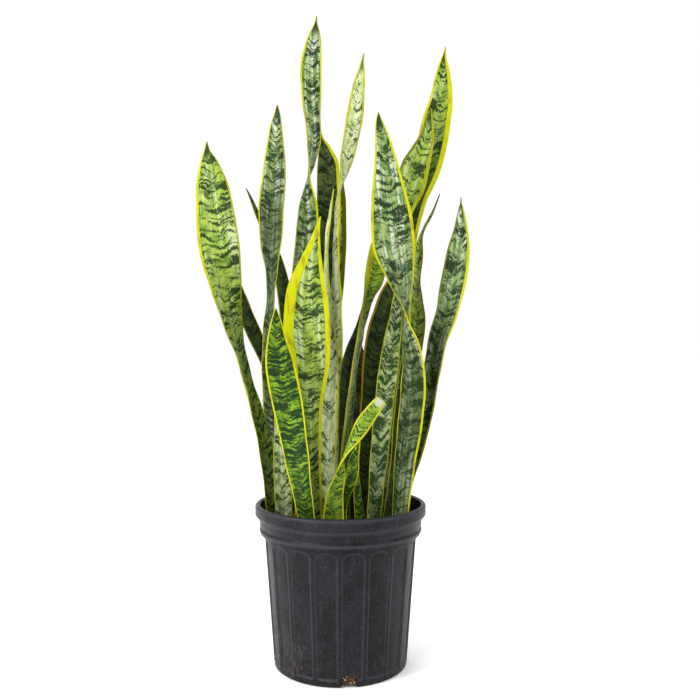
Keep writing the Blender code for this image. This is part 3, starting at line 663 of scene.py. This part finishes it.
def drain_cutter():
    """One arched slug for each drain hole, through the foot of the wall and the edge of the floor."""
    bm = bmesh.new()
    half = DRAIN_WIDTH / 2
    spring = DRAIN_HEIGHT - DRAIN_ARCH_RISE
    angles = [math.radians(degrees) for degrees in range(0, 181, 12)]
    arch = [(half * math.cos(angle), spring + DRAIN_ARCH_RISE * math.sin(angle)) for angle in angles]
    outline = [(half, -WALL)] + arch + [(-half, -WALL)]
    for outward, sideways in drain_directions():
        start = outward * (FOOT_RADIUS - DRAIN_REACH)
        face = bm.faces.new([
            bm.verts.new(start + sideways * across + Vector((0, 0, height))) for across, height in outline
        ])
        pushed = bmesh.ops.extrude_face_region(bm, geom=[face])["geom"]
        moved = [item for item in pushed if isinstance(item, bmesh.types.BMVert)]
        bmesh.ops.translate(bm, verts=moved, vec=outward * 2 * DRAIN_REACH)
    bmesh.ops.recalc_face_normals(bm, faces=bm.faces[:])
    mesh = bpy.data.meshes.new("drain_cutter")
    bm.to_mesh(mesh)
    bm.free()
    cutter = bpy.data.objects.new("drain_cutter", mesh)
    bpy.context.scene.collection.objects.link(cutter)
    return cutter


def build_pot():
    """The fluted pot in one piece, with its drain holes cut."""
    bm = spin_profile(pot_profile(), FLUTES * STEPS_PER_FLUTE)
    sink_flutes(bm)
    pot = finish_piece("fluted_pot", bm, pot_material(), "nursery_pot")
    cutter = drain_cutter()
    cut = pot.modifiers.new("drain_holes", "BOOLEAN")
    cut.operation = "DIFFERENCE"
    cut.object = cutter
    bpy.context.view_layer.update()
    evaluated = pot.evaluated_get(bpy.context.evaluated_depsgraph_get())
    holed = bpy.data.meshes.new_from_object(evaluated)
    pot.modifiers.clear()
    pot.data = holed
    bpy.data.objects.remove(cutter, do_unlink=True)


# Polyethylene, blow-moulded and used: a charcoal satin that is slightly waxy, with a fine orange-peel
# skin, rubbed places, pale dust specks, brown soil where it has stood on the ground, and painted highlights
# on the slopes of the flutes and the collar's edges.
def pot_material():
    material, tree, shader = start_material("blow_moulded_polyethylene", 1.51)
    place = add(tree, "TexCoord", out="Object")
    across = add(tree, "SeparateXYZ", {0: place}, out="X")
    height = add(tree, "SeparateXYZ", {0: place}, out="Z")
    rub_and_highlight = add(tree, "Attribute", out="Fac", attribute_name="rub_and_highlight")
    soft = {"interpolation_type": "SMOOTHSTEP"}
    # Noises of the skin: the size of the grains in millimetres, how much taller than wide they are, and
    # the levels of detail.
    grain = {}
    for key, size, rise, detail in (
        ("skin", 1.1, 1, 3), ("grit", 2.4, 1, 5), ("dent", 17, 1, 1),
        ("tone", 34, 1, 4), ("rub_and_highlight", 8, 3, 5), ("soil", 4.5, 2.2, 6),
    ):
        scale = (1 / (size * MM), 1 / (size * MM), 1 / (size * rise * MM))
        sized = add(tree, "Mapping", {"Vector": place, "Scale": scale})
        grain[key] = add(tree, "TexNoise", {"Vector": sized, "Scale": 1, "Detail": detail})

    # Dust specks 0.7 mm across, drawn at twice the real size so that they show, in two sowings.
    specks = []
    for pitch, chosen in ((5.0, 0.72), (2.6, 0.85)):
        cells = add(tree, "TexVoronoi", {"Vector": place, "Scale": 1 / (pitch * MM)}, out=None)
        pick = add(tree, "SeparateXYZ", {0: cells.outputs["Color"]}, out="X")
        some = add(tree, "MapRange", {0: pick, 1: chosen, 2: chosen + 0.03})
        dot = add(tree, "MapRange", {0: cells.outputs["Distance"], 1: 0.20, 2: 0.08}, **soft)
        specks.append(add(tree, "Math", {0: dot, 1: some}, operation="MULTIPLY"))
    dusty = add(tree, "Math", {0: specks[0], 1: specks[1]}, operation="MAXIMUM")

    # Soil lies thickest near the foot and towards the left of the front.
    low = add(tree, "MapRange", {0: height, 1: 0.125, 2: 0.02}, **soft)
    left = add(tree, "MapRange", {0: across, 1: -0.015, 2: -0.085, 3: 0.25, 4: 1.0}, **soft)
    where = add(tree, "Math", {0: low, 1: left}, operation="MULTIPLY")
    scuffs = add(tree, "MapRange", {0: grain["soil"], 1: 0.47, 2: 0.66}, **soft)
    soil = add(tree, "Math", {0: where, 1: scuffs}, operation="MULTIPLY")

    # Colours over the charcoal: what each follows, where it starts, where it is full, how strong it is.
    tone = linear("#151517")
    for source, start, end, most, colour in (
        (grain["tone"], 0.35, 0.65, 1.0, "#1F1F23"),
        (grain["rub_and_highlight"], 0.54, 0.74, 0.45, "#34343A"),
        # Painted highlight on the slopes of the flutes and the collar's edges.
        (rub_and_highlight, 0.0, 0.9, 0.55, "#3C3C42"),
        (grain["grit"], 0.52, 0.72, 0.50, "#39383D"),
        (dusty, 0, 1, 0.30, "#7A7772"),
        (soil, 0, 1, 0.65, "#4E453D"),
    ):
        mask = add(tree, "MapRange", {0: source, 1: start, 2: end, 4: most}, **soft)
        tone = add(tree, "Mix", {"Factor": mask, "A": tone, "B": linear(colour)}, out=2, data_type="RGBA")
    tree.links.new(tone, shader.inputs["Base Color"])
    satin = add(tree, "MapRange", {0: grain["rub_and_highlight"], 1: 0.3, 2: 0.7, 3: 0.30, 4: 0.44})
    dulled = add(tree, "Math", {0: soil, 1: 0.35, 2: satin}, operation="MULTIPLY_ADD")
    tree.links.new(dulled, shader.inputs["Roughness"])
    shader.inputs["Specular IOR Level"].default_value = 0.11
    # Orange-peel grains 1.1 mm across over soft dents from the mould.
    skin = add(tree, "Bump", {"Height": grain["skin"], "Distance": 0.2 * MM, "Strength": 0.7})
    dented = {"Height": grain["dent"], "Distance": 1.4 * MM, "Strength": 0.6, "Normal": skin}
    tree.links.new(add(tree, "Bump", dented), shader.inputs["Normal"])
    return material


# Potting mix: composted bark and peat, matt and nearly black-brown when damp, in crumbs of about 3 mm
# with a few flecks of perlite.
def mix_material():
    material, tree, shader = start_material("composted_bark_mix", 1.45)
    place = add(tree, "TexCoord", out="Object")
    crumbs = add(tree, "TexVoronoi", {"Vector": place, "Scale": 1 / (3.2 * MM)}, out=None)
    fine = add(tree, "TexNoise", {"Vector": place, "Scale": 1 / (1.4 * MM), "Detail": 3})
    tint, fleck = (add(tree, "SeparateXYZ", {0: crumbs.outputs["Color"]}, out=axis) for axis in "XY")
    tone = linear("#1A120C")
    for source, start, end, most, colour in (
        (tint, 0.1, 1.0, 1.0, "#553620"),
        (fine, 0.4, 0.7, 0.8, "#2C1E16"),
        (fleck, 0.90, 0.93, 1.0, "#B9AF98"),
    ):
        mask = add(tree, "MapRange", {0: source, 1: start, 2: end, 4: most})
        tone = add(tree, "Mix", {"Factor": mask, "A": tone, "B": linear(colour)}, out=2, data_type="RGBA")
    tree.links.new(tone, shader.inputs["Base Color"])
    shader.inputs["Roughness"].default_value = 0.92
    relief = add(tree, "Bump", {"Height": crumbs.outputs["Distance"], "Distance": 1.5 * MM}, invert=True)
    tree.links.new(relief, shader.inputs["Normal"])
    return material


# Two kinds of lump lie in the mix. Composted pine bark is dull and fibrous, from orange-brown where it
# is split to nearly black outside. Perlite is expanded volcanic glass: chalky, off-white and pitted,
# and stained by the peat.
def lump_material(name, dark, light, grime, fibre_mm):
    material, tree, shader = start_material(name, 1.5)
    tint = add(tree, "Attribute", out="Fac", attribute_name="tint")
    place = add(tree, "TexCoord", out="Object")
    fibre = add(tree, "TexNoise", {"Vector": place, "Scale": 1 / (fibre_mm * MM), "Detail": 4})
    tone = add(tree, "Mix", {"Factor": tint, "A": linear(dark), "B": linear(light)}, out=2, data_type="RGBA")
    mask = add(tree, "MapRange", {0: fibre, 1: 0.40, 2: 0.70, 4: 0.7})
    tone = add(tree, "Mix", {"Factor": mask, "A": tone, "B": linear(grime)}, out=2, data_type="RGBA")
    tree.links.new(tone, shader.inputs["Base Color"])
    shader.inputs["Roughness"].default_value = 0.85
    tree.links.new(add(tree, "Bump", {"Height": fibre, "Distance": 0.5 * MM}), shader.inputs["Normal"])
    return material


def inner_radius(height):
    """The pot's inner radius at a height between its floor and its lip."""
    inside = [
        (MOUTH_RADIUS, ROLL_BOTTOM), (BEAD_RADIUS - WALL, BEAD_TOP),
        (WALL_TOP_RADIUS - WALL, COLLAR_BOTTOM - LIP_ROUND), (outer_radius(FLOOR) - WALL, FLOOR),
    ]
    for (upper_radius, upper), (lower_radius, lower) in zip(inside, inside[1:]):
        if height >= lower:
            return lower_radius + (upper_radius - lower_radius) * (height - lower) / (upper - lower)
    return inside[-1][0]


def build_mix():
    """The mix: a plug that fills the pot, with a top in lumps of about 18 and 6 millimetres."""
    low = FLOOR + MIX_CLEARANCE
    edge = inner_radius(MIX_TOP) - MIX_CLEARANCE
    heights = (low, 0.06, 0.12, COLLAR_BOTTOM - LIP_ROUND, MIX_TOP - 0.004)
    side = [(inner_radius(height) - MIX_CLEARANCE, height) for height in heights]
    top = [(edge * (1 - i / MIX_RINGS), MIX_TOP) for i in range(MIX_RINGS + 1)]
    bm = spin_profile([(0.0, low)] + side + top, MIX_SEGMENTS)
    for vert in bm.verts:
        if vert.co.z > MIX_TOP - TOUCH:
            lumps = noise.noise(vert.co * 55) + 0.5 * noise.noise(vert.co * 160)
            vert.co.z += MIX_BUMP * lumps
    finish_piece("lumpy_mix", bm, mix_material(), "potting_mix")


def scatter(name, spots, material, rng, sizes, flat):
    """One mesh of small rough lumps, each a squashed and jittered icosphere of 20 faces.

    Sizes are the least and greatest length in millimetres. The tint attribute is one shade for each lump.
    """
    bm = bmesh.new()
    tint = bm.verts.layers.float.new("tint")
    for spot in spots:
        length = rng.uniform(*sizes) * MM
        made = bmesh.ops.create_icosphere(bm, subdivisions=1, radius=0.5)["verts"]
        shade = rng.random() ** 1.5
        width = length * rng.uniform(0.45, 0.8)
        stretch = (length, width, length * (rng.uniform(0.2, 0.35) if flat else 0.75))
        tilts = [rng.uniform(-BIT_TILT, BIT_TILT) for _ in "XY"]
        turn = Euler((*tilts, rng.uniform(0, 2 * math.pi))).to_matrix()
        for vert in made:
            rough = 1 + BIT_ROUGHNESS * (rng.random() - 0.5)
            vert.co = turn @ Vector([c * s * rough for c, s in zip(vert.co, stretch)]) + spot
            vert[tint] = shade
    finish_piece(name, bm, material, sharp=math.radians(25))


def top_spots(count, rng, lift):
    """Places on the mix between the leaves' feet, with a lift in millimetres."""
    reach = inner_radius(MIX_TOP) - WALL_GAP
    feet = [leaf_section(leaf, 0.0)[0] for leaf in LEAVES.values()]
    spots = []
    while len(spots) < count:
        angle = rng.uniform(0, 2 * math.pi)
        radius = reach * math.sqrt(rng.random())
        height = MIX_TOP + rng.uniform(*lift) * MM
        spot = Vector((radius * math.cos(angle), radius * math.sin(angle), height))
        if min((spot.xy - foot.xy).length for foot in feet) > LEAF_GAP:
            spots.append(spot)
    return spots


def hole_spots(count, rng):
    """Places just behind each drain hole, where the mix shows."""
    spots = []
    for outward, sideways in drain_directions():
        for _ in range(count):
            across = rng.uniform(-HOLE_SHARE, HOLE_SHARE) * DRAIN_WIDTH
            height = rng.uniform(*HOLE_HEIGHTS)
            depth = outer_radius(height) - WALL + rng.uniform(*HOLE_DEPTHS)
            spots.append(outward * depth + sideways * across + Vector((0, 0, height)))
    return spots


def build_bits():
    """The loose bark and perlite on the mix and behind the drain holes."""
    rng = random.Random(7)
    bark = lump_material("composted_pine_bark", "#1E120A", "#7E5426", "#33200F", 1.2)
    perlite = lump_material("expanded_perlite", "#B5A88C", "#E3DCC8", "#9A8A6D", 1.6)
    scatter("bark_chips", top_spots(BARK_CHIPS, rng, (0.5, 3.0)), bark, rng, (5, 14), True)
    scatter("perlite_grains", top_spots(PERLITE_GRAINS, rng, (0.8, 2.5)), perlite, rng, (1.8, 4.2), False)
    scatter("hole_bark", hole_spots(HOLE_BITS, rng), bark, rng, (2.5, 5.0), False)
    scatter("hole_perlite", hole_spots(HOLE_BITS // 2, rng), perlite, rng, (1.8, 3.2), False)


def build_studio():
    """A white floor and room, a strong soft light from the left, weaker ones all round, and the camera."""
    bm = bmesh.new()
    bmesh.ops.create_grid(bm, x_segments=FLOOR_TILES, y_segments=FLOOR_TILES, size=FLOOR_REACH)
    bmesh.ops.translate(bm, verts=bm.verts[:], vec=(0, 0, -FLOOR_DROP))
    mesh = bpy.data.meshes.new("floor")
    bm.to_mesh(mesh)
    bm.free()
    material, _, shader = start_material("white_paper", 1.45)
    shader.inputs["Base Color"].default_value = linear("#FFFFFF")
    shader.inputs["Roughness"].default_value = 0.8
    shader.inputs["Specular IOR Level"].default_value = 0.1
    mesh.materials.append(material)
    floor = bpy.data.objects.new("floor", mesh)
    bpy.context.scene.collection.objects.link(floor)

    room = bpy.data.worlds.new("white_room")
    bpy.context.scene.world = room
    room.use_nodes = True
    # The room shines less from the camera's side, so that the pot stays dark and the leaves keep their
    # contrast, and more from above.
    backing = room.node_tree.nodes["Background"]
    backing.inputs["Color"].default_value = (1, 1, 1, 1)
    direction = add(room.node_tree, "TexCoord", out="Generated")
    depth, rise = (add(room.node_tree, "SeparateXYZ", {0: direction}, out=axis) for axis in "YZ")
    wall = add(room.node_tree, "MapRange", {0: depth, 1: -0.5, 2: 0.4, 3: 0.7, 4: 1.0})
    ceiling = add(room.node_tree, "MapRange", {0: rise, 1: 0.5, 2: 0.9, 3: 0.0, 4: 0.3})
    glow = add(room.node_tree, "Math", {0: wall, 1: ceiling}, operation="ADD")
    room.node_tree.links.new(glow, backing.inputs["Strength"])

    middle = Vector((0, 0, AIM_HEIGHT))
    for name, place, size, power in (
        ("key_softbox", (-1.6, -1.2, 1.5), 0.8, 38),
        ("side_softbox", (1.7, -0.8, 1.2), 0.9, 8),
        ("front_strip", (-0.85, -1.5, 0.55), 0.35, 7),
        ("back_softbox", (-0.3, 1.9, 1.9), 1.2, 14),
    ):
        lamp = bpy.data.lights.new(name, "AREA")
        lamp.size = size
        lamp.energy = power
        stand = bpy.data.objects.new(name, lamp)
        stand.location = place
        stand.rotation_euler = (middle - Vector(place)).to_track_quat("-Z", "Y").to_euler()
        bpy.context.scene.collection.objects.link(stand)

    lens = bpy.data.cameras.new("camera")
    lens.sensor_width = SENSOR_WIDTH
    lens.lens = FOCAL_SHARE * SENSOR_WIDTH
    lens.clip_start = NEAR_CLIP
    camera = bpy.data.objects.new("camera", lens)
    camera.location = CAMERA_PLACE
    camera.rotation_euler = (math.radians(90), 0, 0)
    bpy.context.scene.collection.objects.link(camera)
    bpy.context.scene.camera = camera
    bpy.context.scene.view_settings.view_transform = "Standard"


build_pot()
build_mix()
build_bits()
for leaf_name, leaf_shape in LEAVES.items():
    build_leaf(leaf_name, leaf_shape)
build_studio()
